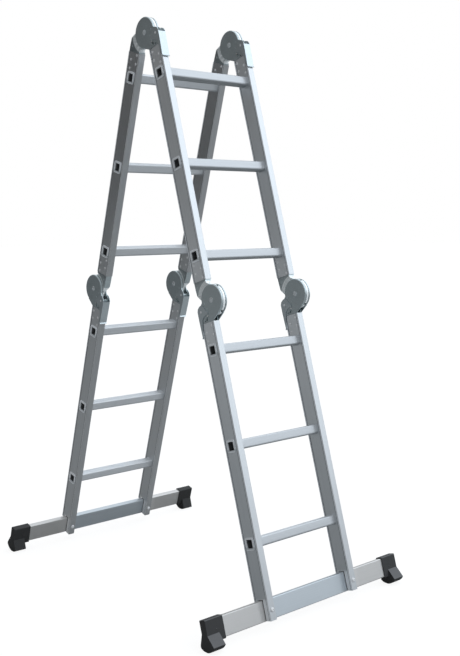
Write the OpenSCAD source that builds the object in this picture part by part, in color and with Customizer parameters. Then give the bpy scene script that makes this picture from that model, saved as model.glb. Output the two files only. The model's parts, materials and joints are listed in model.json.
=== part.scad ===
// Folding multi position ladder: four tubular sections, three lines of locking hinges
// and two stabilizer bars. X runs along the rungs, Z is up, the front leg leans to -Y.

/* [Ladder] */
// Distance from one rung to the next, also across the hinges
rung_pitch = 280; // [250:5:300]
// Number of rungs in each of the four sections
rungs_per_section = 3; // [2:1:4]
// Overall width over the two stiles
ladder_width = 358; // [320:1:420]
// Lean of each leg from the vertical when the ladder stands open
leg_lean = 16.5; // [12:0.5:20]

/* [Stile] */
// Depth of the stile tube, seen from the side of the ladder
stile_depth = 58; // [56:0.5:62]
// Width of the stile tube, seen from the front of the ladder
stile_width = 23; // [22:0.5:26]
// Wall thickness of the stile tube
stile_wall = 1.5; // [1.2:0.1:1.8]
// Width of the raised bands along the edges of each side face
band_width = 4.5; // [3:0.5:6]
// Height of those raised bands
band_height = 0.8; // [0.4:0.1:1]

/* [Rung] */
// Outside size of the square rung tube
rung_size = 28; // [26:0.5:32]
// Wall thickness of the rung tube
rung_wall = 1.6; // [1.2:0.1:2]
// Outside size of the swaged collar at each rung end
collar_size = 37; // [34:0.5:39]
// Thickness of that collar
collar_thickness = 2; // [1:0.5:3]

/* [Hinge] */
// Distance from a hinge pivot to the middle of the stile
pivot_offset = 36; // [35:0.5:38]
// Radius of the round hinge plates
disc_radius = 46; // [44:0.5:47]
// Thickness of each steel hinge plate
plate_thickness = 2.5; // [2:0.1:2.6]
// Diameter of the pivot pin
pivot_diameter = 12; // [10:1:14]
// Travel of the lock bolt when its lever is pulled
bolt_travel = 5.6; // [4:0.2:6]

/* [Stabilizer] */
// Height of the stabilizer bar
bar_height = 58; // [50:1:62]
// Depth of the stabilizer bar
bar_depth = 18; // [14:1:22]
// Length of the stabilizer bar without its rubber feet
bar_length = 772; // [600:2:900]
// Wall thickness of the stabilizer bar
bar_wall = 1.6; // [1.2:0.1:2]
// Distance along the leg from the last rung to the top of the bar
bar_below_rung = 160; // [130:1:170]

/* [Foot] */
// Length of the rubber foot's sleeve over the bar
foot_length = 61; // [50:1:80]
// Length of the tread block under the sleeve
tread_length = 41; // [36:1:50]
// Width of the tread from front to back
tread_depth = 57; // [50:1:66]
// Distance from the middle of the bar to the lowest point of the tread
tread_drop = 55; // [50:1:60]
// Radius of the rounded tread
tread_radius = 38; // [34:1:60]
// Thickness of the rubber round the bar
rubber_thickness = 3; // [2:0.5:4]

/* [Hidden] */

// Signs that name a side: the front leg leans to -Y, the left stile stands at -X
front = -1;
rear = 1;
left = -1;
right = 1;

// Smoothness of the round parts
$fn = 48;
// A hair of extra length that lets a cutter pass clean through a face
eps = 1;
// Clearance round parts that are fixed to each other
snug = 0.05;

// Sections
section_length = rung_pitch * rungs_per_section;
stile_x = (ladder_width - stile_width) / 2;
half_width = stile_width / 2;
half_depth = stile_depth / 2;
side_x = half_width - band_height;

// Hinge, drawn in its own plane: the pivot is at [0, 0], the first number points from the
// pivot towards the stile, the second one points away from the pivot along the section
plate_outer = half_width - 0.2;
plate_inner = plate_outer - plate_thickness;
pad_outer = plate_outer - 0.1;
tongue_half = plate_inner - 0.2;
drum_half = 3.6;
drum_radius = disc_radius - 0.5;
rim_inner = drum_half + 1.6;
rim_wall = 2.8;
rim_chamfer = 1.8;
hub_radius = pivot_diameter / 2 + 4;
pin_clearance = 0.08;
near_face = pivot_offset - half_depth;
far_face = pivot_offset + half_depth;
clevis_stile_start = 59;
arm_stile_start = 64;
arm_end = 122;
recess_radius = 61;
recess_floor_radius = disc_radius + 1;
rivet_radius = 2.5;
rivet_head_radius = 4.2;
rivet_head_height = 1.5;
rivet_places = [
    [pivot_offset - 16, 71],
    [pivot_offset + 12, 87],
    [pivot_offset - 16, 97],
    [pivot_offset + 13, 113]
];

// Lock
bolt_angle = 34.4;
bolt_pin_radius = 2.5;
bolt_pin_distance = 49.2;
slot_end = bolt_pin_distance + bolt_travel + 8.5;
bolt_half_x = plate_inner - plate_thickness - 0.4;
bolt_width = 9;
bolt_nose = disc_radius + 0.4;
bolt_tail = 62;
slot_radius = bolt_pin_radius + 0.4;
notch_width = bolt_width + 1;
notch_depth = 6.5;
mid_locks = [0, 115, 180];
top_locks = [0, 2 * leg_lean, 180];

// Lever
lever_pivot = [53.5, 24.5];
lever_sheet = 1.4;
lever_inner = half_width + 0.2;
lever_outer = lever_inner + lever_sheet;
lever_rivet_radius = 2.4;
spring_wire = 1.2;
spring_radius = 4.2;
spring_turns = 6;
spring_steps = 12;

// Stabilizer, measured down the leg from the top pivot
leg_rungs = 2 * rungs_per_section;
last_rung = rung_pitch * (leg_rungs - 0.5);
bar_top = last_rung + bar_below_rung;
bar_middle = bar_top + bar_height / 2;
flange_depth = 20.5;
liner_thickness = 1.5;
bar_gap = liner_thickness + 0.4;
notch_face = -half_depth + flange_depth;
bar_face = notch_face + bar_gap;
bar_y = bar_face + bar_depth / 2;
flange_end = bar_top + bar_height - 1;
screw_rise = 2;
screw_radius = 3.9;
screw_head_radius = 6.5;
screw_head_height = 4;
nut_radius = 7.5;
nut_height = 6.5;

// Height of the top pivot that stands the rounded treads on the floor at Z = 0. The tread is
// centred under the stile, so that the front and the rear leg stand equally high
foot_flat = 0.6;
tread_centre_drop = tread_drop - tread_radius;
top_height = (bar_middle + tread_centre_drop) * cos(leg_lean) - pivot_offset * sin(leg_lean)
    + tread_radius - foot_flat;

// ---- Shapes that repeat ----

// The corner points of a rectangle with round corners
function round_corner(cx, cy, r, start) =
    [for (step = [0:4]) [cx + r * cos(start + step * 22.5), cy + r * sin(start + step * 22.5)]];

function round_box(width, height, r) = concat(
    round_corner(width / 2 - r, height / 2 - r, r, 0),
    round_corner(r - width / 2, height / 2 - r, r, 90),
    round_corner(r - width / 2, r - height / 2, r, 180),
    round_corner(width / 2 - r, r - height / 2, r, 270)
);

// Stands a child on one leg: its frame has the top pivot at the origin and Z up along the leg
module leg(s) {
    translate([0, 0, top_height])
        rotate([s * leg_lean, 0, 0])
            children();
}

// Extrudes an outline, drawn across Y and Z, along X
module along_x(x_low, x_high) {
    translate([x_low, 0, 0])
        rotate([90, 0, 90])
            linear_extrude(x_high - x_low)
                children();
}

// The same outline at both sides of X = 0, as a pair of plates
module both_plates(x_low, x_high) {
    along_x(x_low, x_high) children();
    along_x(-x_high, -x_low) children();
}

module rod_x(radius, half_length) {
    rotate([0, 90, 0])
        cylinder(r = radius, h = 2 * half_length, center = true);
}

// Places hinge parts, drawn at [offset towards the stile, distance from the pivot], on a leg
module at_top_hinge(s, side) {
    leg(s)
        translate([side * stile_x, 0, 0])
            mirror([0, s == front ? 1 : 0, 0])
                mirror([0, 0, 1])
                    children();
}

module at_mid_hinge(s, side, upward) {
    leg(s)
        translate([side * stile_x, 2 * s * pivot_offset, -section_length])
            mirror([0, s == rear ? 1 : 0, 0])
                mirror([0, 0, upward ? 0 : 1])
                    children();
}

// The same piece on the left and the right hinge of one line
module top_pair() {
    color("silver") {
        at_top_hinge(front, left) children();
        at_top_hinge(front, right) children();
    }
}

module mid_pair(s) {
    color("silver") {
        at_mid_hinge(s, left, false) children();
        at_mid_hinge(s, right, false) children();
    }
}

// ---- Stiles ----

module stile_outline() {
    band_edge = half_depth - band_width;
    groove_edge = band_edge - 1.4;
    groove_x = side_x - 0.5;
    r = 1.8;
    difference() {
        polygon(concat(
            [[half_width, -band_edge], [groove_x, -band_edge], [side_x, -groove_edge],
             [side_x, groove_edge], [groove_x, band_edge], [half_width, band_edge]],
            round_corner(half_width - r, half_depth - r, r, 0),
            round_corner(r - half_width, half_depth - r, r, 90),
            [[-half_width, band_edge], [-groove_x, band_edge], [-side_x, groove_edge],
             [-side_x, -groove_edge], [-groove_x, -band_edge], [-half_width, -band_edge]],
            round_corner(r - half_width, r - half_depth, r, 180),
            round_corner(half_width - r, r - half_depth, r, 270)
        ));
        square([2 * (side_x - stile_wall), 2 * (half_depth - stile_wall)], center = true);
    }
}

module stile_tube(z_low, z_high) {
    translate([0, 0, z_low])
        linear_extrude(z_high - z_low)
            stile_outline();
}

module rung_holes(first) {
    for (i = [first : first + rungs_per_section - 1])
        translate([0, 0, -(i + 0.5) * rung_pitch])
            along_x(-half_width - eps, half_width + eps)
                polygon(round_box(rung_size + 2 * snug, rung_size + 2 * snug, 4));
}

// Rivet holes through a stile, at the places of one hinge. The stile's middle is at Y = 0
module rivet_holes(pivot_z, up, towards) {
    for (place = rivet_places)
        translate([0, towards * (pivot_offset - place[0]), pivot_z + up * place[1]])
            rod_x(rivet_radius + snug, half_width + eps);
}

module upper_stile(s, side) {
    start = s == front ? clevis_stile_start : arm_stile_start;
    color("lightsteelblue")
        leg(s)
            translate([side * stile_x, s * pivot_offset, 0])
                difference() {
                    stile_tube(arm_stile_start - section_length, -start);
                    rung_holes(0);
                    rivet_holes(0, -1, -s);
                    rivet_holes(-section_length, 1, s);
                }
}

module lower_stile(s, side) {
    color("lightsteelblue")
        leg(s)
            translate([side * stile_x, s * pivot_offset, 0])
                difference() {
                    stile_tube(-flange_end, -section_length - clevis_stile_start);
                    rung_holes(rungs_per_section);
                    rivet_holes(-section_length, -1, s);
                    translate([-stile_width, notch_face, -flange_end - eps])
                        cube([2 * stile_width, stile_depth, flange_end + eps - bar_top + bar_gap]);
                    translate([0, 0, screw_rise - bar_middle])
                        rotate([90, 0, 0])
                            cylinder(r = screw_radius + snug, h = stile_depth);
                }
}

// ---- Rungs ----

module rung_outline() {
    groove_width = 1.4;
    groove_depth = 0.7;
    difference() {
        polygon(round_box(rung_size, rung_size, 4));
        polygon(round_box(rung_size - 2 * rung_wall, rung_size - 2 * rung_wall, 3));
        for (side = [-1, 1], i = [-3:3])
            translate([i * 2.9, side * rung_size / 2])
                square([groove_width, 2 * groove_depth], center = true);
    }
}

module rung_collar(x_low, size, thickness) {
    both_plates(x_low, x_low + thickness)
        difference() {
            polygon(round_box(size, size, 7));
            polygon(round_box(rung_size - rung_wall, rung_size - rung_wall, 3.5));
        }
}

module rung() {
    outer = stile_x + side_x + snug;
    inner = stile_x - side_x - snug;
    along_x(-outer - collar_thickness, outer + collar_thickness)
        rung_outline();
    rung_collar(outer, collar_size, collar_thickness);
    rung_collar(inner - 1.5, rung_size + 4, 1.5);
}

module section_rungs(s, first) {
    color("gainsboro")
        leg(s)
            for (i = [first : first + rungs_per_section - 1])
                translate([0, s * pivot_offset, -(i + 0.5) * rung_pitch])
                    rung();
}

// ---- Rivets ----

module dome(radius, height) {
    rotate_extrude()
        polygon([
            [0, 0], [radius, 0], [radius * 0.97, height * 0.3],
            [radius * 0.8, height * 0.7], [radius * 0.5, height * 0.93], [0, height]
        ]);
}

// A headed pin along X: the heads sit on faces at +/- reach
module headed_pin(shank, reach, head, height) {
    rod_x(shank, reach + 0.1);
    for (side = [-1, 1])
        translate([side * reach, 0, 0])
            rotate([0, side * 90, 0])
                dome(head, height);
}

module hinge_rivets() {
    for (place = rivet_places)
        translate([0, place[0], place[1]])
            headed_pin(rivet_radius, side_x + snug, rivet_head_radius, rivet_head_height);
}

module upper_rivets(s) {
    color("silver")
        for (side = [left, right]) {
            at_top_hinge(s, side) hinge_rivets();
            at_mid_hinge(s, side, true) hinge_rivets();
        }
}

module lower_rivets(s) {
    color("silver")
        for (side = [left, right])
            at_mid_hinge(s, side, false) hinge_rivets();
}

// ---- Hinge clevis: two outer plates, doubled where they enter the stile, and a back web ----

module clevis_outline() {
    polygon([
        [0, 0], [disc_radius, 0], [57.5, 12], [61.5, 19.5], [61.5, 38], [62.5, clevis_stile_start - 0.5],
        [near_face + 2.5, clevis_stile_start - 0.5], disc_radius * [-sin(26), cos(26)]
    ]);
}

module clevis_inner_outline() {
    difference() {
        polygon([
            [near_face + 2.5, 40], [44, 27], [58, 18.5], [61.5, 19.5], [61.5, 38],
            [far_face - 2.5, clevis_stile_start],
            [far_face - 2.5, arm_end], [near_face + 2.5, arm_end]
        ]);
        circle(r = disc_radius + 1);
    }
}

module bolt_slot() {
    rotate([-bolt_angle, 0, 0]) {
        translate([0, 0, bolt_pin_distance])
            rod_x(slot_radius, half_width + eps);
        translate([0, 0, slot_end])
            rod_x(slot_radius, half_width + eps);
        translate([-half_width - eps, -slot_radius, bolt_pin_distance])
            cube([stile_width + 2 * eps, 2 * slot_radius, slot_end - bolt_pin_distance]);
    }
}

// The pressed disc of one outer plate: chamfered outside, with a rim turned inwards
module clevis_disc() {
    rotate([0, 90, 0]) {
        translate([0, 0, plate_inner])
            cylinder(r = disc_radius, h = plate_thickness - rim_chamfer);
        translate([0, 0, plate_outer - rim_chamfer])
            cylinder(r1 = disc_radius, r2 = disc_radius - rim_chamfer, h = rim_chamfer);
        translate([0, 0, rim_inner])
            difference() {
                cylinder(r = disc_radius, h = plate_inner - rim_inner);
                translate([0, 0, -eps])
                    cylinder(r = disc_radius - rim_wall, h = plate_inner - rim_inner + eps);
            }
    }
}

// A small pressed dot on the outside of a plate
module plate_dot(place, reach, radius) {
    for (side = [-1, 1])
        translate([side * reach, place[0], place[1]])
            rotate([0, side * 90, 0])
                dome(radius, 0.9);
}

module clevis() {
    web = 2.5;
    plate_inner_face = plate_inner - plate_thickness;
    color("slategray")
        difference() {
            union() {
                both_plates(plate_inner, plate_outer) clevis_outline();
                clevis_disc();
                mirror([1, 0, 0]) clevis_disc();
                both_plates(plate_inner_face, plate_inner) clevis_inner_outline();
                along_x(-plate_inner_face, plate_inner_face)
                    polygon([
                        [61.5 - web, 18.5], [61.5, 19.5], [61.5, 38], [far_face - 2.5, clevis_stile_start],
                        [far_face - 2.5, arm_end], [far_face - 2.5 - web, arm_end],
                        [far_face - 2.5 - web, clevis_stile_start], [61.5 - web, 38]
                    ]);
                plate_dot([34, 4.5], plate_outer, 2.2);
                plate_dot([24.5, 21], plate_outer, 2.2);
            }
            rod_x(pivot_diameter / 2 + snug, half_width + eps);
            for (place = rivet_places)
                translate([0, place[0], place[1]])
                    rod_x(rivet_radius + snug, half_width);
            translate([0, lever_pivot[0], lever_pivot[1]])
                rod_x(lever_rivet_radius + snug, half_width + eps);
            translate([0, 43, 53])
                rod_x(2.6, half_width + eps);
            bolt_slot();
        }
}

// ---- Hinge arm: a notched drum on a neck that widens to the stile, with a tongue inside it ----

module arm_outline() {
    circle(r = drum_radius);
    polygon([
        [0, 0], [drum_radius, 0], [50.4, 9], [59.5, 26], [61.2, 44], [far_face - 3, arm_stile_start - 0.4],
        [near_face + 3, arm_stile_start - 0.4], [near_face + 3, 53], drum_radius * [-sin(5), cos(5)]
    ]);
}

// The neck: full width near the stile, with a sloping round recess that clears the clevis discs
module arm_neck() {
    slope = (recess_radius - recess_floor_radius) / (pad_outer - drum_half);
    difference() {
        along_x(-pad_outer, pad_outer) arm_outline();
        for (side = [-1, 1])
            rotate([0, side * 90, 0])
                translate([0, 0, drum_half])
                    cylinder(r1 = recess_floor_radius, r2 = recess_radius + eps * slope,
                             h = pad_outer - drum_half + eps);
    }
}

module arm_tongue() {
    web = 2.5;
    near = near_face + 3;
    far = far_face - 3;
    start = arm_stile_start - 3;
    both_plates(tongue_half - plate_thickness, tongue_half)
        translate([near, start])
            square([far - near, arm_end - start]);
    along_x(plate_thickness - tongue_half, tongue_half - plate_thickness)
        for (edge = [near, far - web])
            translate([edge, start])
                square([web, arm_end - start]);
}

module hinge_arm(locks) {
    color("slategray")
        difference() {
            union() {
                arm_neck();
                arm_tongue();
                rod_x(hub_radius, tongue_half);
                plate_dot([51, 48], pad_outer, 2.6);
            }
            rod_x(pivot_diameter / 2 + pin_clearance, half_width);
            for (place = rivet_places)
                translate([0, place[0], place[1]])
                    rod_x(rivet_radius + snug, half_width);
            for (lock = locks)
                rotate([bolt_angle + lock, 0, 0])
                    translate([-half_width, -notch_width / 2, drum_radius - notch_depth])
                        cube([stile_width, notch_width, notch_depth + eps]);
        }
}

// ---- Pins, lever rivets and springs ----

module pivot_pin() {
    difference() {
        headed_pin(pivot_diameter / 2, plate_outer, 8, 1.6);
        for (side = [-1, 1])
            translate([side * (plate_outer + 1.6), 0, 0])
                rod_x(2.6, 0.9);
    }
}

module lever_rivet() {
    translate([0, lever_pivot[0], lever_pivot[1]])
        headed_pin(lever_rivet_radius, lever_outer + 0.15, 3.8, 1.2);
}

// One point of a ring of spring wire: the ring sits at the given turn of the coil
function wire_point(turn, corner, pitch) =
    let (angle = 360 * turn, around = 60 * corner, r = spring_radius + spring_wire / 2 * cos(around))
    [pitch * turn + spring_wire / 2 * sin(around), r * cos(angle), r * sin(angle)];

module lever_spring() {
    pitch = spring_wire * 1.15;
    rings = spring_turns * spring_steps;
    points = [
        for (ring = [0:rings], corner = [0:5])
            wire_point(ring / spring_steps, corner, pitch)
    ];
    faces = concat(
        [[for (corner = [0:5]) corner]],
        [for (ring = [0 : rings - 1], corner = [0:5])
            [6 * ring + corner, 6 * ring + 6 + corner,
             6 * ring + 6 + (corner + 1) % 6, 6 * ring + (corner + 1) % 6]],
        [[for (corner = [5:-1:0]) 6 * rings + corner]]
    );
    translate([-pitch * spring_turns / 2, lever_pivot[0], lever_pivot[1]])
        polyhedron(points = points, faces = faces, convexity = 8);
}

// ---- Release lever: a sheet channel that wraps the back of the hinge ----

module lever() {
    grip = [[68.1, 26], [69.5, 24], [69.2, 50], [68.2, 77], [67.2, 97], [69.9, 100.4], [69, 101.4],
            [65.8, 97.5], [66.8, 77], [67.8, 50]];
    color("lightslategray")
        difference() {
            union() {
                both_plates(lever_inner, lever_outer)
                    polygon([
                        [50, 5], [58, 7.5], [65, 12.5], [69.3, 20], [69.2, 50], [68.2, 77], [67.2, 97],
                        [63.5, 97], [60.5, 77], [57.5, 60], [53, 46], [45, 40.5], [38, 37.5], [31, 36.6],
                        [26, 35.5], [23.8, 31.8], [25.5, 28.4], [32.5, 23], [37, 15], [42, 8.5]
                    ]);
                along_x(-lever_outer, lever_outer)
                    polygon(grip);
            }
            translate([0, lever_pivot[0], lever_pivot[1]])
                rod_x(lever_rivet_radius + pin_clearance, lever_outer + eps);
        }
}

// ---- Lock bolt: a block that slides between the plates, with a cross pin in their slots ----

module lock_bolt() {
    color("lightgray")
        rotate([-bolt_angle, 0, 0]) {
            along_x(-bolt_half_x, bolt_half_x)
                polygon([
                    [-bolt_width / 2, bolt_nose + 2], [2 - bolt_width / 2, bolt_nose],
                    [bolt_width / 2 - 2, bolt_nose], [bolt_width / 2, bolt_nose + 2],
                    [bolt_width / 2, bolt_tail], [-bolt_width / 2, bolt_tail]
                ]);
            translate([0, 0, bolt_pin_distance])
                rod_x(bolt_pin_radius, plate_outer + 1.2);
        }
}

// ---- Stabilizer bars ----

module bar(s) {
    color("silver")
        leg(s)
            translate([0, s * pivot_offset + bar_y, -bar_middle])
                difference() {
                    along_x(-bar_length / 2, bar_length / 2)
                        difference() {
                            polygon(round_box(bar_depth, bar_height, 2.5));
                            polygon(round_box(bar_depth - 2 * bar_wall, bar_height - 2 * bar_wall, 1.5));
                        }
                    for (side = [left, right])
                        translate([side * stile_x, 0, screw_rise])
                            rotate([90, 0, 0])
                                cylinder(r = screw_radius + snug, h = bar_depth + eps, center = true);
                }
}

module bar_screw() {
    bar_back = bar_face + bar_depth;
    rotate([90, 0, 0]) {
        translate([0, 0, -bar_back - nut_height - 2])
            cylinder(r = screw_radius, h = bar_back + nut_height + 2 + half_depth + 0.5);
        difference() {
            translate([0, 0, half_depth])
                dome(screw_head_radius, screw_head_height);
            translate([0, 0, half_depth + screw_head_height - 2])
                cylinder(r = 2.6, h = 3, $fn = 6);
        }
        translate([0, 0, -bar_back - nut_height])
            cylinder(r = nut_radius, h = nut_height, $fn = 6);
    }
}

module bar_screws(s) {
    color("gainsboro")
        leg(s)
            for (side = [left, right])
                translate([side * stile_x, s * pivot_offset, screw_rise - bar_middle])
                    bar_screw();
}

module bar_liners(s) {
    liner_half = half_width - 0.5;
    liner_reach = 15;
    liner_top = -bar_top + 0.3;
    color("black")
        leg(s)
            for (side = [left, right])
                translate([side * stile_x, s * pivot_offset, 0])
                    difference() {
                        along_x(-liner_half, liner_half)
                            polygon([
                                [notch_face + 0.2, -flange_end + 1], [notch_face + 0.2 + liner_thickness, -flange_end + 1],
                                [notch_face + 0.2 + liner_thickness, liner_top],
                                [notch_face + liner_reach, liner_top],
                                [notch_face + liner_reach, liner_top + liner_thickness],
                                [notch_face + 0.2, liner_top + liner_thickness]
                            ]);
                        translate([0, 0, screw_rise - bar_middle])
                            rotate([90, 0, 0])
                                cylinder(r = screw_radius + snug, h = stile_depth, center = true);
                    }
}

// ---- Feet ----

// Points along the rounded tread, from the front corner to the back one
function tread_arc(half_angle) =
    [for (i = [-6:6]) tread_radius * [sin(i * half_angle / 6), -cos(i * half_angle / 6)] - [0, tread_centre_drop]];

module tread_outline() {
    half_angle = asin(tread_depth / 2 / tread_radius);
    arc_end = -tread_drop + tread_radius * (1 - cos(half_angle));
    waist = bar_depth / 2 + rubber_thickness;
    polygon(concat(
        tread_arc(half_angle),
        [[tread_depth / 2, arc_end + 6], [bar_y + waist, -6], [bar_y + waist, 6],
         [bar_y - waist, 6], [bar_y - waist, -10], [-tread_depth / 2, arc_end + 1]]
    ));
}

module foot(s, side) {
    outer_end = bar_length / 2 + 3;
    stud_inset = 34;
    stud_radius = 2;
    sleeve_inner = outer_end - foot_length;
    sleeve_depth = bar_depth + 2 * rubber_thickness;
    sleeve_height = bar_height + 2 * rubber_thickness;
    color("dimgray")
        intersection() {
            leg(s)
                translate([0, s * pivot_offset, -bar_middle])
                    mirror([side == left ? 1 : 0, 0, 0])
                        difference() {
                            union() {
                                along_x(sleeve_inner, outer_end)
                                    translate([bar_y, 0])
                                        polygon(round_box(sleeve_depth, sleeve_height, 3));
                                along_x(outer_end - tread_length, outer_end)
                                    tread_outline();
                                translate([outer_end - stud_inset, bar_y - sleeve_depth / 2 + 0.1, 0])
                                    rotate([90, 0, 0])
                                        dome(stud_radius, 1.1);
                            }
                            along_x(sleeve_inner - eps, bar_length / 2 + snug)
                                translate([bar_y, 0])
                                    polygon(round_box(bar_depth + 2 * snug, bar_height + 2 * snug, 2.5));
                        }
            translate([-ladder_width - bar_length, -2 * top_height, 0])
                cube([2 * (ladder_width + bar_length), 4 * top_height, top_height]);
        }
}

// ---- Nodes ----

upper_stile(front, left);  // upper_front_left_stile
upper_stile(front, right);  // upper_front_right_stile
upper_stile(rear, left);  // upper_rear_left_stile
upper_stile(rear, right);  // upper_rear_right_stile
lower_stile(front, left);  // lower_front_left_stile
lower_stile(front, right);  // lower_front_right_stile
lower_stile(rear, left);  // lower_rear_left_stile
lower_stile(rear, right);  // lower_rear_right_stile
section_rungs(front, 0);  // upper_front_rungs
section_rungs(rear, 0);  // upper_rear_rungs
section_rungs(front, rungs_per_section);  // lower_front_rungs
section_rungs(rear, rungs_per_section);  // lower_rear_rungs
upper_rivets(front);  // upper_front_rivets
upper_rivets(rear);  // upper_rear_rivets
lower_rivets(front);  // lower_front_rivets
lower_rivets(rear);  // lower_rear_rivets
at_top_hinge(front, left) clevis();  // top_left_clevis
at_top_hinge(front, right) clevis();  // top_right_clevis
at_mid_hinge(front, left, false) clevis();  // front_left_clevis
at_mid_hinge(front, right, false) clevis();  // front_right_clevis
at_mid_hinge(rear, left, false) clevis();  // rear_left_clevis
at_mid_hinge(rear, right, false) clevis();  // rear_right_clevis
at_top_hinge(rear, left) hinge_arm(top_locks);  // top_left_hinge_arm
at_top_hinge(rear, right) hinge_arm(top_locks);  // top_right_hinge_arm
at_mid_hinge(front, left, true) hinge_arm(mid_locks);  // front_left_hinge_arm
at_mid_hinge(front, right, true) hinge_arm(mid_locks);  // front_right_hinge_arm
at_mid_hinge(rear, left, true) hinge_arm(mid_locks);  // rear_left_hinge_arm
at_mid_hinge(rear, right, true) hinge_arm(mid_locks);  // rear_right_hinge_arm
top_pair() pivot_pin();  // top_pivot_pins
mid_pair(front) pivot_pin();  // front_pivot_pins
mid_pair(rear) pivot_pin();  // rear_pivot_pins
top_pair() lever_rivet();  // top_lever_rivets
mid_pair(front) lever_rivet();  // front_lever_rivets
mid_pair(rear) lever_rivet();  // rear_lever_rivets
top_pair() lever_spring();  // top_lever_springs
mid_pair(front) lever_spring();  // front_lever_springs
mid_pair(rear) lever_spring();  // rear_lever_springs
at_top_hinge(front, left) lever();  // top_left_lever
at_top_hinge(front, right) lever();  // top_right_lever
at_mid_hinge(front, left, false) lever();  // front_left_lever
at_mid_hinge(front, right, false) lever();  // front_right_lever
at_mid_hinge(rear, left, false) lever();  // rear_left_lever
at_mid_hinge(rear, right, false) lever();  // rear_right_lever
at_top_hinge(front, left) lock_bolt();  // top_left_lock_bolt
at_top_hinge(front, right) lock_bolt();  // top_right_lock_bolt
at_mid_hinge(front, left, false) lock_bolt();  // front_left_lock_bolt
at_mid_hinge(front, right, false) lock_bolt();  // front_right_lock_bolt
at_mid_hinge(rear, left, false) lock_bolt();  // rear_left_lock_bolt
at_mid_hinge(rear, right, false) lock_bolt();  // rear_right_lock_bolt
bar(front);  // front_stabilizer_bar
bar(rear);  // rear_stabilizer_bar
bar_screws(front);  // front_bar_screws
bar_screws(rear);  // rear_bar_screws
bar_liners(front);  // front_bar_liners
bar_liners(rear);  // rear_bar_liners
foot(front, left);  // front_left_foot
foot(front, right);  // front_right_foot
foot(rear, left);  // rear_left_foot
foot(rear, right);  // rear_right_foot
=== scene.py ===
"""A folding ladder, open as an A-frame, in a pale studio.

Every CAD node is shown by a copy with clean faces, rounded edges and a procedural material.
Lengths are in metres and places are in the frame of the CAD model.
"""
import json
import math

import bmesh
import bpy
from mathutils import Euler, Matrix, Vector


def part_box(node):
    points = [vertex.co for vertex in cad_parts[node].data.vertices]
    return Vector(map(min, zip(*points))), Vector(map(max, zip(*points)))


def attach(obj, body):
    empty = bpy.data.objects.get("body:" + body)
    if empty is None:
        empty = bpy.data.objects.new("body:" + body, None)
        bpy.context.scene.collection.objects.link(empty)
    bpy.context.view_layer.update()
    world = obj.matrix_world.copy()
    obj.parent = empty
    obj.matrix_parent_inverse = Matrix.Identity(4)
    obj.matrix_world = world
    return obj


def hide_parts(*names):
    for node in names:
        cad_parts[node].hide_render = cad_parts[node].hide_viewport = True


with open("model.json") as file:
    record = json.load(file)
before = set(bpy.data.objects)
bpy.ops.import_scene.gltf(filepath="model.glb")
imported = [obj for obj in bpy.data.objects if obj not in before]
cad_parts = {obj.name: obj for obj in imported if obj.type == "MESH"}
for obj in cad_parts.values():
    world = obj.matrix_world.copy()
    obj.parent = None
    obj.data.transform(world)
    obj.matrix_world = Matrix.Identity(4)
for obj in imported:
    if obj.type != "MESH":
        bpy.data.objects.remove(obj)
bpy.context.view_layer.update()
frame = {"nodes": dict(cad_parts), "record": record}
NODES = frame["nodes"]
BEHAVIOUR = frame["record"]["behaviour"]
BODY_OF = {node: body for body, nodes in BEHAVIOUR["bodies"].items() for node in nodes}
SLOT_OF = {part["node"]: part["material_slot"] for part in frame["record"]["subparts"]}
PIVOTS = {
    joint["name"].split("_")[0]: Vector(joint["pos_m"])
    for joint in BEHAVIOUR["joints"] if joint["name"].endswith("_hinge")
}
scene = bpy.context.scene


# ---- The ladder's own directions and sizes ----

FRONT, REAR = -1, 1  # the side of the top pivots, along Y, on which a leg stands
LEAN = math.radians(16.5)  # of each leg from upright
RUNGS = 3  # in each section


def outward(side):
    """The direction across a leg, away from the other leg."""
    return Vector((0, side * math.cos(LEAN), math.sin(LEAN)))


def down(side):
    """The direction down a leg."""
    return Vector((0, side * math.sin(LEAN), -math.cos(LEAN)))


# The upper pivot of a section lies inward of its stiles, and the lower one just as far outward.
SECTION = PIVOTS["front"] - PIVOTS["top"]
STILE_Y = SECTION.dot(outward(FRONT)) / 2  # across the leg, from the top pivot to the middle of the stiles
RUNG_PITCH = SECTION.dot(down(FRONT)) / RUNGS
stile_low, stile_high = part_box("upper_front_right_stile")
STILE_X = (stile_low.x + stile_high.x) / 2  # from the middle of the ladder to the middle of a stile
BAND_X = (stile_high.x - stile_low.x) / 2  # from there to the face of a raised band


def middle_line(side):
    """A point on the middle line of a leg's stiles, seen from the side."""
    return PIVOTS["top"] + STILE_Y * outward(side)


def side_of(node):
    return REAR if "rear" in node else FRONT


# ---- Node trees ----

NO_TURN = (0, 0, 0)
BUMP_DEPTH = 0.0003
NOISE_MIDDLE = (0.3, 0.7)  # most of a noise pattern lies between these values


def grey(level):
    return (level, level, level)


def shade(colour, factor):
    return tuple(min(1.0, channel * factor) for channel in colour)


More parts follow.
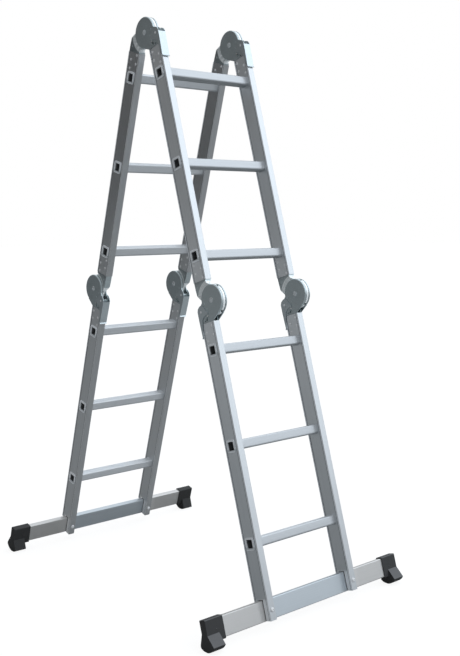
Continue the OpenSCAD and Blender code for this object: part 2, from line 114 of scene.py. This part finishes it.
class Nodes:
    """Short ways to add nodes to a tree. Each value is a constant or the output of another node."""

    def __init__(self, tree):
        self.tree = tree

    def node(self, kind, **settings):
        node = self.tree.nodes.new(kind)
        for key, value in settings.items():
            setattr(node, key, value)
        return node

    def put(self, value, socket):
        """Links an output to the socket, or sets the socket to a constant."""
        if isinstance(value, bpy.types.NodeSocket):
            self.tree.links.new(value, socket)
        else:
            socket.default_value = value

    def math(self, operation, *values):
        node = self.node("ShaderNodeMath", operation=operation)
        for value, socket in zip(values, node.inputs):
            self.put(value, socket)
        return node.outputs["Value"]

    def dot(self, vector, direction):
        node = self.node("ShaderNodeVectorMath", operation="DOT_PRODUCT")
        self.put(vector, node.inputs[0])
        self.put(direction, node.inputs[1])
        return node.outputs["Value"]

    def component(self, vector, letter):
        split = self.node("ShaderNodeSeparateXYZ")
        self.put(vector, split.inputs["Vector"])
        return split.outputs[letter]

    def ramp(self, value, *stops):
        """The colour for a value, between stops that are each a position and a colour."""
        ramp = self.node("ShaderNodeValToRGB")
        elements = ramp.color_ramp.elements
        while len(elements) < len(stops):
            elements.new(0.5)
        for element, (position, colour) in zip(elements, stops):
            element.position = position
            element.color = (*colour, 1)
        self.put(value, ramp.inputs["Fac"])
        return ramp.outputs["Color"]

    def mix(self, factor, a, b, blend="MIX"):
        mix = self.node("ShaderNodeMix", data_type="RGBA", blend_type=blend)
        for name, value in (("Factor", factor), ("A", a), ("B", b)):
            self.put(value, mix.inputs[name])
        return mix.outputs["Result"]

    def choose_for_camera(self, seen, otherwise):
        """One shader for what the camera sees directly, and another for the light it gives the object."""
        mix = self.node("ShaderNodeMixShader")
        self.put(self.node("ShaderNodeLightPath").outputs["Is Camera Ray"], mix.inputs["Fac"])
        self.put(otherwise, mix.inputs[1])
        self.put(seen, mix.inputs[2])
        return mix.outputs["Shader"]


class Shader(Nodes):
    """A material under construction, with one Principled shader."""

    def __init__(self, name, roughness, metallic=0.0):
        self.material = bpy.data.materials.new(name)
        self.material.use_nodes = True
        super().__init__(self.material.node_tree)
        self.sockets = self.tree.nodes["Principled BSDF"].inputs
        self.metallic = metallic
        self.put(metallic, self.sockets["Metallic"])
        self.put(roughness, self.sockets["Roughness"])
        self.place = self.node("ShaderNodeTexCoord").outputs["Object"]

    def feed(self, socket, value):
        self.put(value, self.sockets[socket])

    def axis(self, letter):
        return self.component(self.place, letter)

    def along(self, direction, start):
        """How far the surface lies from start along a direction."""
        return self.math("SUBTRACT", self.dot(self.place, direction), start.dot(direction))

    def facing(self, letter):
        """How far the surface faces along an axis, from -1 to 1."""
        return self.component(self.node("ShaderNodeNewGeometry").outputs["Normal"], letter)

    def noise(self, scale, detail, roughness, grain=(1, 1, 1), turn=NO_TURN):
        """Noise over turned object coordinates, as much finer along each axis as grain says."""
        turned = self.node("ShaderNodeMapping")
        self.put(self.place, turned.inputs["Vector"])
        self.put(turn, turned.inputs["Rotation"])
        stretched = self.node("ShaderNodeMapping")
        self.put(turned.outputs["Vector"], stretched.inputs["Vector"])
        self.put(scale * Vector(grain), stretched.inputs["Scale"])
        noise = self.node("ShaderNodeTexNoise")
        self.put(stretched.outputs["Vector"], noise.inputs["Vector"])
        for name, value in (("Scale", 1.0), ("Detail", detail), ("Roughness", roughness)):
            self.put(value, noise.inputs[name])
        return noise.outputs["Fac"]

    def span(self, value, start, end, low=0.0, high=1.0):
        """Goes from low to high while the value goes from start to end."""
        span = self.node("ShaderNodeMapRange")
        limits = (("From Min", start), ("From Max", end), ("To Min", low), ("To Max", high))
        for name, limit in limits:
            self.put(limit, span.inputs[name])
        self.put(value, span.inputs["Value"])
        return span.outputs["Result"]

    def between(self, value, low, high, blur):
        """1 from low to high, and 0 further than blur outside them."""
        above = self.span(value, low - blur, low)
        below = self.span(value, high, high + blur, 1.0, 0.0)
        return self.math("MULTIPLY", above, below)

    def blended(self, noise, low, high, limits=NOISE_MIDDLE):
        """From one colour to another as the noise goes from one limit to the other."""
        return self.ramp(noise, (limits[0], low), (limits[1], high))

    def tinted(self, colour, factor):
        """The colour multiplied by another one."""
        return self.mix(1.0, colour, (*factor, 1), "MULTIPLY")

    def tinted_where(self, mask, colour, factor):
        return self.mix(mask, colour, self.tinted(colour, factor))

    def bump(self, height, strength):
        bump = self.node("ShaderNodeBump")
        self.put(strength, bump.inputs["Strength"])
        self.put(BUMP_DEPTH, bump.inputs["Distance"])
        self.put(height, bump.inputs["Height"])
        self.feed("Normal", bump.outputs["Normal"])


# ---- Materials ----

def extruded(name, colour, roughness, grain, turn, finish, metallic=0.92, contrast=0.05):
    """Drawn or extruded metal: fine lines along one direction, faint haze, small handling marks.

    finish(shader, colour) changes the colour from place to place.
    """
    shader = Shader(name, roughness, metallic)
    lines = shader.noise(1, detail=3.0, roughness=0.6, grain=grain, turn=turn)
    haze = shader.noise(7, detail=4.0, roughness=0.55)
    marks = shader.noise(140, detail=2.0, roughness=0.7)
    base = shader.blended(lines, shade(colour, 1 - contrast), shade(colour, 1 + contrast))
    cloud = shader.blended(haze, grey(0.975), grey(1))
    base = shader.mix(1.0, base, cloud, "MULTIPLY")
    shader.feed("Base Color", finish(shader, base))
    haze_dulls = shader.span(haze, *NOISE_MIDDLE, roughness - 0.02, roughness + 0.02)
    marks_dull = shader.span(marks, 0.55, 0.75, 0.0, 0.04)
    shader.feed("Roughness", shader.math("ADD", haze_dulls, marks_dull))
    shader.bump(lines, 0.10)
    return shader.material


def stile_finish(side):
    """Painted highlights on the raised bands and along the side faces' corners, painted shade in the grooves
    beside the bands, a pale flange at the foot.
    """
    # Across the side face, from its middle.
    band_line = (0.0242, 0.0268)
    inner_groove = (0.0212, 0.0236)
    outer_groove = (0.0272, 0.0279)
    corner_start = (0.0282, 0.0286)
    # Down the leg, from the top pivot.
    flange_start = (1.694, 1.702)

    def finish(shader, base):
        across = shader.math("ABSOLUTE", shader.along(outward(side), middle_line(side)))
        along = shader.along(down(side), PIVOTS["top"])
        off_middle = shader.math("ABSOLUTE", shader.axis("X"))
        off_centre = shader.math("ABSOLUTE", shader.math("SUBTRACT", off_middle, STILE_X))
        side_face = shader.span(shader.math("ABSOLUTE", shader.facing("X")), 0.6, 0.8)

        # The raised band faces are tinted lighter: a painted highlight.
        proud = shader.span(off_centre, BAND_X - 0.0003, BAND_X + 0.0001)
        base = shader.tinted_where(proud, base, grey(1.15))

        # The grooves beside the bands are darkened on the side faces: painted shade.
        inner = shader.between(across, *inner_groove, 0.0003)
        outer = shader.between(across, *outer_groove, 0.0002)
        groove = shader.math("MULTIPLY", shader.math("MAXIMUM", inner, outer), side_face)
        base = shader.tinted_where(groove, base, (0.45, 0.45, 0.46))

        # Lines along the bands and at the side faces' corners are made paler and less metallic: painted
        # highlights. The flange at the foot is made pale with them.
        line = shader.between(across, *band_line, 0.0002)
        edges = shader.math("MAXIMUM", line, shader.span(across, *corner_start))
        flange = shader.math("MULTIPLY", shader.span(along, *flange_start), side_face)
        pale = shader.math("MAXIMUM", shader.math("MULTIPLY", edges, side_face), flange)
        shader.feed("Metallic", shader.span(pale, 0.0, 1.0, shader.metallic, 0.0))
        return shader.tinted_where(pale, base, grey(1.35))
    return finish


def rung_finish(side):
    """A painted highlight on the collars at the rung's ends, painted shade in the throat inside the stile
    and on the lower edges.
    """
    # From the middle of the ladder.
    collar_highlight_start = (STILE_X + 0.0095, STILE_X + 0.0105)
    throat_reach = (STILE_X - 0.0105, STILE_X + 0.0088)
    # Down the leg, from halfway between two rungs.
    lower_edge = (RUNG_PITCH / 2 + 0.0095, RUNG_PITCH / 2 + 0.0150)

    def finish(shader, base):
        off_middle = shader.math("ABSOLUTE", shader.axis("X"))
        level = shader.math("FLOORED_MODULO", shader.along(down(side), PIVOTS["top"]), RUNG_PITCH)
        # Inside the stile the rung is darkened: painted shade in the tube's throat.
        throat = shader.between(off_middle, *throat_reach, 0.0004)
        base = shader.tinted_where(throat, base, grey(0.3))
        # The lower edges of each rung are darkened: painted shade where they face down.
        lower = shader.between(level, *lower_edge, 0.0015)
        base = shader.tinted_where(lower, base, (0.72, 0.73, 0.73))
        # The collars are made paler and less metallic: a painted highlight.
        painted_highlight = shader.span(off_middle, *collar_highlight_start)
        shader.feed("Metallic", shader.span(painted_highlight, 0.0, 1.0, shader.metallic, 0.2))
        return shader.tinted_where(painted_highlight, base, grey(1.4))
    return finish


def bar_finish(shader, base):
    """Cool between the stiles, a warmer grey on the outriggers, and paler beside each stile, where painted
    light offsets the shade of the stile's flange.
    """
    off_middle = shader.math("ABSOLUTE", shader.axis("X"))
    # Beside each stile the bar is lightened: painted light against the flange's shadow.
    beside = shader.between(off_middle, STILE_X + 0.006, STILE_X + 0.018, 0.03)
    base = shader.tinted_where(beside, base, grey(1.15))
    outer = shader.span(off_middle, STILE_X - 0.001, STILE_X + 0.001)
    cool, warm = (0.96, 1.01, 1.05), (1.04, 1.0, 0.965)
    return shader.mix(outer, shader.tinted(base, cool), shader.tinted(base, warm))


def plated(name, colour, roughness, metallic=0.85, grain=260, contrast=0.05, painted_highlight=1.0, finish=None):
    """Pressed and plated steel: a fine mottled skin with cloudy colour.

    Its highlight factor says how much brighter the edges are painted, as a painted highlight.
    finish(shader, colour) changes the colour from place to place.
    """
    shader = Shader(name, roughness, metallic)
    cloud = shader.noise(26, detail=4.0, roughness=0.6)
    skin = shader.noise(grain, detail=3.0, roughness=0.6)
    base = shader.blended(cloud, shade(colour, 1 - contrast), shade(colour, 1 + contrast))
    speck = shader.blended(skin, grey(0.92), grey(1))
    base = shader.mix(1.0, base, speck, "MULTIPLY")
    # Faces that don't look along X, such as the edges, are brightened: a painted highlight.
    if painted_highlight != 1.0:
        edge = shader.span(shader.math("ABSOLUTE", shader.facing("X")), 0.80, 0.96, 1.0, 0.0)
        base = shader.tinted_where(edge, base, grey(painted_highlight))
    if finish:
        base = finish(shader, base)
    shader.feed("Base Color", base)
    shader.feed("Roughness", shader.span(cloud, *NOISE_MIDDLE, roughness - 0.06, roughness + 0.06))
    shader.bump(skin, 0.12)
    return shader.material


def arm_finish(pivot):
    """A painted highlight in a ring round the pivot, where the discs of the clevis turn against the hinge
    arm.
    """
    ring_highlight_radius = (0.0600, 0.0606)

    def finish(shader, base):
        squares = []
        for direction in (Vector((0, 1, 0)), Vector((0, 0, 1))):
            offset = shader.along(direction, pivot)
            squares.append(shader.math("MULTIPLY", offset, offset))
        radius = shader.math("SQRT", shader.math("ADD", *squares))
        # Inside this radius the arm is paler and less metallic: a painted highlight on the recess.
        ring_highlight = shader.span(radius, *ring_highlight_radius, 1.0, 0.0)
        shader.feed("Metallic", shader.span(ring_highlight, 0.0, 1.0, shader.metallic, 0.3))
        return shader.tinted_where(ring_highlight, base, (2.1, 1.95, 1.9))
    return finish


def moulded(name, colour, roughness, highlight_side=None):
    """Moulded rubber or plastic: an even colour, a fine texture, and a little dust.

    With a side given, FRONT or REAR, a painted highlight lies on what faces both up and that way.
    """
    shader = Shader(name, roughness)
    dust = shader.noise(22, detail=5.0, roughness=0.65)
    skin = shader.noise(900, detail=2.0, roughness=0.5)
    base = shader.blended(dust, colour, shade(colour, 1.25), limits=(0.35, 0.8))
    if highlight_side:
        # Faces turned up and towards that side are made much paler: a painted highlight.
        upward = shader.span(shader.facing("Z"), 0.40, 0.68)
        away = shader.math("MULTIPLY", shader.facing("Y"), highlight_side)
        upward_highlight = shader.math("MULTIPLY", upward, shader.span(away, 0.05, 0.3))
        base = shader.tinted_where(upward_highlight, base, grey(3.6))
    shader.feed("Base Color", base)
    shader.feed("Roughness", shader.span(dust, *NOISE_MIDDLE, roughness - 0.05, roughness + 0.1))
    shader.bump(skin, 0.25)
    return shader.material


FINE, LONG = 900, 4  # across and along the lines of the metal
UPRIGHT_GRAIN = (FINE, FINE, LONG)
CROSS_GRAIN = (LONG, FINE, FINE)
HINGE_PLATING = {"colour": (0.45, 0.505, 0.52), "roughness": 0.36, "painted_highlight": 1.6}

# By material slot, with one for each leg or hinge where they differ, and one for the pivot pins.
# The front and rear copies of the stile, rung and foot materials differ in colour as painted light and shade
# on each leg.
MATERIALS = {
    ("stile", FRONT): extruded(
        "stile_front_leg", (0.74, 0.765, 0.785), 0.34, UPRIGHT_GRAIN, (LEAN, 0, 0), stile_finish(FRONT)),
    ("stile", REAR): extruded(
        "stile_rear_leg", (0.67, 0.682, 0.69), 0.34, UPRIGHT_GRAIN, (-LEAN, 0, 0), stile_finish(REAR)),
    ("rung", FRONT): extruded(
        "rung_front_leg", (0.72, 0.745, 0.77), 0.40, CROSS_GRAIN, NO_TURN, rung_finish(FRONT),
        metallic=0.55),
    ("rung", REAR): extruded(
        "rung_rear_leg", (0.83, 0.855, 0.88), 0.40, CROSS_GRAIN, NO_TURN, rung_finish(REAR),
        metallic=0.45),
    "bar": extruded(
        "bar_aluminium", (0.72, 0.735, 0.745), 0.40, CROSS_GRAIN, NO_TURN, bar_finish,
        metallic=0.85, contrast=0.025),
    "hinge": plated("hinge_plating", **HINGE_PLATING),
    "lever": plated("lever_plating", (0.49, 0.54, 0.56), 0.34, painted_highlight=1.6),
    # Fasteners are near white and barely metallic: the zinc's colour with a painted highlight over it.
    "fastener": plated("zinc_with_painted_highlight", (0.97, 0.975, 0.98), 0.28, metallic=0.15, grain=500, contrast=0.02),
    # The pin heads are paler than the hinge plating: zinc with a painted highlight.
    "pin": plated("pin_head_zinc_with_painted_highlight", (0.70, 0.74, 0.755), 0.28, metallic=0.4, grain=500, painted_highlight=1.3),
    "bolt": plated("ground_steel", (0.80, 0.80, 0.79), 0.24, grain=500),
    "spring": plated("spring_steel", grey(0.35), 0.35),
    "liner": moulded("black_liner", grey(0.015), 0.5),
    ("foot", FRONT): moulded("foot_rubber_front", (0.034, 0.034, 0.035), 0.55, highlight_side=FRONT),
    ("foot", REAR): moulded("foot_rubber_rear", grey(0.028), 0.6, highlight_side=REAR),
}
for hinge, pivot in PIVOTS.items():
    MATERIALS["arm", hinge] = plated(hinge + "_arm_plating", **HINGE_PLATING, finish=arm_finish(pivot))


def material_for(node):
    slot = SLOT_OF[node]
    if slot in ("stile", "rung", "foot"):
        return MATERIALS[slot, side_of(node)]
    if "pivot_pins" in node:
        return MATERIALS["pin"]
    if "hinge_arm" in node:
        return MATERIALS["arm", node.split("_")[0]]
    return MATERIALS[slot]


# ---- Pieces ----

WELD = 2e-6  # vertices this close are one
FLAT_ANGLE = math.radians(0.6)  # faces that meet at less are one flat face
SMOOTH_ANGLE = math.radians(32)  # faces that meet at more have a crease between them
SHARP_ANGLE = math.radians(30)  # faces that meet at more have a rounded edge between them
EDGE_WIDTHS = {
    "stile": 0.0005, "rung": 0.0004, "bar": 0.0003, "hinge": 0.0005, "lever": 0.0004, "bolt": 0.0004,
    "fastener": 0.0003, "liner": 0.0002, "foot": 0.0016,
}

# Corners of the groove beside a raised band: across from the stile's middle, and out from its middle.
GROOVE_BOTTOM = (0.0245, 0.0102)
GROOVE_RIM = (0.0231, 0.0107)
CORNER_TOLERANCE = 5e-5
GROOVE_DEEPER, GROOVE_WIDER = 0.0008, 0.0007

HEEL_START = 0.0136  # from the middle of a stile to the back of the stabilizer bar
HEEL_LENGTH = 0.011
CUT_TOLERANCE = 1e-6
FOOT_START = 1.6  # down the leg, every end of a stile beyond this is at the bar
END_FACING = 0.99  # how far a face has to look down the leg to be such an end, where 1 is straight down it


def cleaned(node):
    """The CAD node's mesh with its flat faces whole again."""
    bm = bmesh.new()
    bm.from_mesh(NODES[node].data)
    bmesh.ops.remove_doubles(bm, verts=bm.verts, dist=WELD)
    bmesh.ops.dissolve_limit(bm, angle_limit=FLAT_ANGLE, verts=bm.verts, edges=bm.edges)
    bmesh.ops.recalc_face_normals(bm, faces=bm.faces)
    return bm


def add_heel(bm, side):
    """Carries the back of a lower stile a little way down behind the stabilizer bar.

    On both legs the bar's flange is towards -Y and the back of the stile towards +Y.
    """
    behind = side * outward(side)
    start = middle_line(side) + HEEL_START * behind
    geometry = [*bm.verts, *bm.edges, *bm.faces]
    bmesh.ops.bisect_plane(bm, geom=geometry, dist=CUT_TOLERANCE, plane_co=start, plane_no=behind)

    def is_end(face):
        offset = face.calc_center_median() - start
        in_place = offset.dot(behind) > 0 and offset.dot(down(side)) > FOOT_START
        return in_place and face.normal.dot(down(side)) > END_FACING

    ends = [face for face in bm.faces if is_end(face)]
    made = bmesh.ops.extrude_face_region(bm, geom=ends)["geom"]
    tip = [item for item in made if isinstance(item, bmesh.types.BMVert)]
    bmesh.ops.translate(bm, vec=HEEL_LENGTH * down(side), verts=tip)
    bmesh.ops.delete(bm, geom=[face for face in ends if face.is_valid], context="FACES_ONLY")
    bmesh.ops.recalc_face_normals(bm, faces=bm.faces)


def is_at(corner, across, out):
    """Whether a place in a stile's section is that corner of the groove beside any of its four bands."""
    return all(abs(abs(place) - wanted) < CORNER_TOLERANCE for place, wanted in zip((across, out), corner))


def open_grooves(bm, side):
    """Deepens the groove beside each raised band of a stile, so that its far wall catches the light."""
    middle, direction = middle_line(side), outward(side)
    for vertex in bm.verts:
        across = (vertex.co - middle).dot(direction)
        out = abs(vertex.co.x) - STILE_X
        if is_at(GROOVE_BOTTOM, across, out):
            vertex.co.x -= math.copysign(GROOVE_DEEPER, out) * math.copysign(1, vertex.co.x)
        elif is_at(GROOVE_RIM, across, out):
            vertex.co -= math.copysign(GROOVE_WIDER, across) * direction


def round_edges(bm, width):
    sharp = [
        edge for edge in bm.edges if len(edge.link_faces) == 2 and edge.calc_face_angle(0) > SHARP_ANGLE]
    bmesh.ops.bevel(
        bm, geom=sharp, offset=width, segments=2, profile=0.5, affect="EDGES", clamp_overlap=True)


def keep_faces_flat(piece):
    """Shades flat faces flat and lets only the rounded edges curve."""
    mesh = piece.data
    mesh.polygons.foreach_set("use_smooth", [True] * len(mesh.polygons))
    mesh.set_sharp_from_angle(angle=SMOOTH_ANGLE)
    weighted = piece.modifiers.new("flat faces", "WEIGHTED_NORMAL")
    weighted.keep_sharp = True
    weighted.weight = 100
    if "hinge_arm" in piece.name:
        weighted.mode = "CORNER_ANGLE"  # weighting by area leaves streaks on the arm's cone


def add_finished(node):
    """The piece that replaces a CAD node."""
    slot = SLOT_OF[node]
    bm = cleaned(node)
    if slot == "stile":
        if "lower" in node:
            add_heel(bm, side_of(node))
        open_grooves(bm, side_of(node))
    if slot in EDGE_WIDTHS:
        round_edges(bm, EDGE_WIDTHS[slot])
    name = node + "_finished"
    mesh = bpy.data.meshes.new(name)
    bm.to_mesh(mesh)
    bm.free()
    mesh.materials.append(material_for(node))
    piece = bpy.data.objects.new(name, mesh)
    scene.collection.objects.link(piece)
    keep_faces_flat(piece)
    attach(piece, BODY_OF[node])
    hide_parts(node)
    return piece


PIECES = {node: add_finished(node) for node in sorted(NODES)}


# ---- Floor, light and camera ----

FLOOR_HALF_WIDTH = 30
# The light of the world by direction: each stop is a position from 0 to 1 and a level.
TOWARDS_LIGHT = (0.85, -0.53, 0)
WALL_LEVELS = ((0.0, 0.035), (0.25, 0.105), (0.62, 0.62), (0.9, 1.0))  # from the dark side to the bright
HEIGHT_LEVELS = ((0.0, 0.42), (0.11, 0.60), (0.26, 1.0), (1.0, 1.0))  # from the horizon up
SKY_LEVEL = 0.32  # added straight above
WORLD_LEVEL = 1.16  # multiplies all of it
DARK_TINT, LIGHT_TINT = (0.98, 0.99, 1.0, 1), (0.93, 1.0, 1.07, 1)

SENSOR = 36.0  # millimetres, as is the lens
LENS = 76.153
CAMERA_SHIFT = (-0.0411, 0.0194)  # frames the ladder as the photograph does
CAMERA_FROM_TOP_PIVOT = Vector((-1.948, -2.4525, -0.5444))
CAMERA_TURN = (82.880, 0.101, -41.756)  # degrees about X, Y and Z, from looking straight down


def floor_material():
    """Pale paper: near white to look at, and dull enough not to light the object from below."""
    material = bpy.data.materials.new("floor_paper")
    material.use_nodes = True
    material.node_tree.nodes.clear()
    nodes = Nodes(material.node_tree)
    dull = nodes.node("ShaderNodeBsdfDiffuse")
    nodes.put((0.36, 0.36, 0.355, 1), dull.inputs["Color"])
    pale = nodes.node("ShaderNodeBsdfDiffuse")
    nodes.put((*grey(0.2), 1), pale.inputs["Color"])
    glow = nodes.node("ShaderNodeEmission")
    nodes.put((*grey(1), 1), glow.inputs["Color"])
    nodes.put(0.88, glow.inputs["Strength"])
    seen = nodes.node("ShaderNodeAddShader")
    nodes.put(pale.outputs["BSDF"], seen.inputs[0])
    nodes.put(glow.outputs["Emission"], seen.inputs[1])
    surface = nodes.choose_for_camera(seen.outputs["Shader"], dull.outputs["BSDF"])
    nodes.put(surface, nodes.node("ShaderNodeOutputMaterial").inputs["Surface"])
    return material


def add_floor():
    mesh = bpy.data.meshes.new("floor")
    signs = ((-1, -1), (1, -1), (1, 1), (-1, 1))
    mesh.from_pydata([(FLOOR_HALF_WIDTH * x, FLOOR_HALF_WIDTH * y, 0) for x, y in signs], [], [(0, 1, 2, 3)])
    mesh.materials.append(floor_material())
    floor = bpy.data.objects.new("floor", mesh)
    scene.collection.objects.link(floor)


def add_world():
    """A studio: bright to the right and above, dark to the left and behind, and white to look at."""
    world = bpy.data.worlds.new("studio")
    scene.world = world
    world.use_nodes = True
    world.node_tree.nodes.clear()
    nodes = Nodes(world.node_tree)

    def curve(value, levels):
        return nodes.ramp(value, *((position, grey(level)) for position, level in levels))

    direction = nodes.node("ShaderNodeTexCoord").outputs["Generated"]
    up = nodes.component(direction, "Z")
    towards_light = nodes.math("MULTIPLY_ADD", nodes.dot(direction, TOWARDS_LIGHT), 0.5, 0.5)
    walls = nodes.math("MULTIPLY", curve(towards_light, WALL_LEVELS), curve(up, HEIGHT_LEVELS))
    sky = nodes.math("MAXIMUM", nodes.math("MULTIPLY", up, SKY_LEVEL), 0.0)
    level = nodes.math("ADD", walls, sky)

    light = nodes.node("ShaderNodeBackground")
    nodes.put(nodes.mix(level, DARK_TINT, LIGHT_TINT), light.inputs["Color"])
    nodes.put(nodes.math("MULTIPLY", level, WORLD_LEVEL), light.inputs["Strength"])
    white = nodes.node("ShaderNodeBackground")
    nodes.put((*grey(1), 1), white.inputs["Color"])
    surface = nodes.choose_for_camera(white.outputs["Background"], light.outputs["Background"])
    nodes.put(surface, nodes.node("ShaderNodeOutputWorld").inputs["Surface"])


def add_panel(name, place, target, size, radiance, pieces):
    """A dim square of light that lights only some pieces and isn't seen itself."""
    data = bpy.data.lights.new(name, "AREA")
    data.shape = "RECTANGLE"
    data.size = data.size_y = size
    data.energy = radiance * math.pi * size ** 2
    panel = bpy.data.objects.new(name, data)
    scene.collection.objects.link(panel)
    panel.location = place
    panel.rotation_euler = (Vector(target) - Vector(place)).to_track_quat("-Z", "Y").to_euler()
    panel.visible_camera = False
    lit = bpy.data.collections.new(name + "_lights")
    for piece in pieces:
        lit.objects.link(piece)
    panel.light_linking.receiver_collection = lit


def add_camera():
    data = bpy.data.cameras.new("camera")
    data.sensor_fit = "HORIZONTAL"
    data.sensor_width = SENSOR
    data.lens = LENS
    data.shift_x, data.shift_y = CAMERA_SHIFT
    data.clip_end = 200
    camera = bpy.data.objects.new("camera", data)
    scene.collection.objects.link(camera)
    turn = Euler([math.radians(angle) for angle in CAMERA_TURN])
    camera.matrix_world = Matrix.LocRotScale(PIVOTS["top"] + CAMERA_FROM_TOP_PIVOT, turn, None)
    scene.camera = camera


add_floor()
add_world()
add_panel(
    "left_panel", place=(-2.3, 2.1, 1.1), target=(0, -0.3, 0.9), size=2.6, radiance=0.13,
    pieces=[piece for node, piece in PIECES.items() if "rear" not in BODY_OF[node]])
add_camera()
scene.view_settings.view_transform = "Standard"
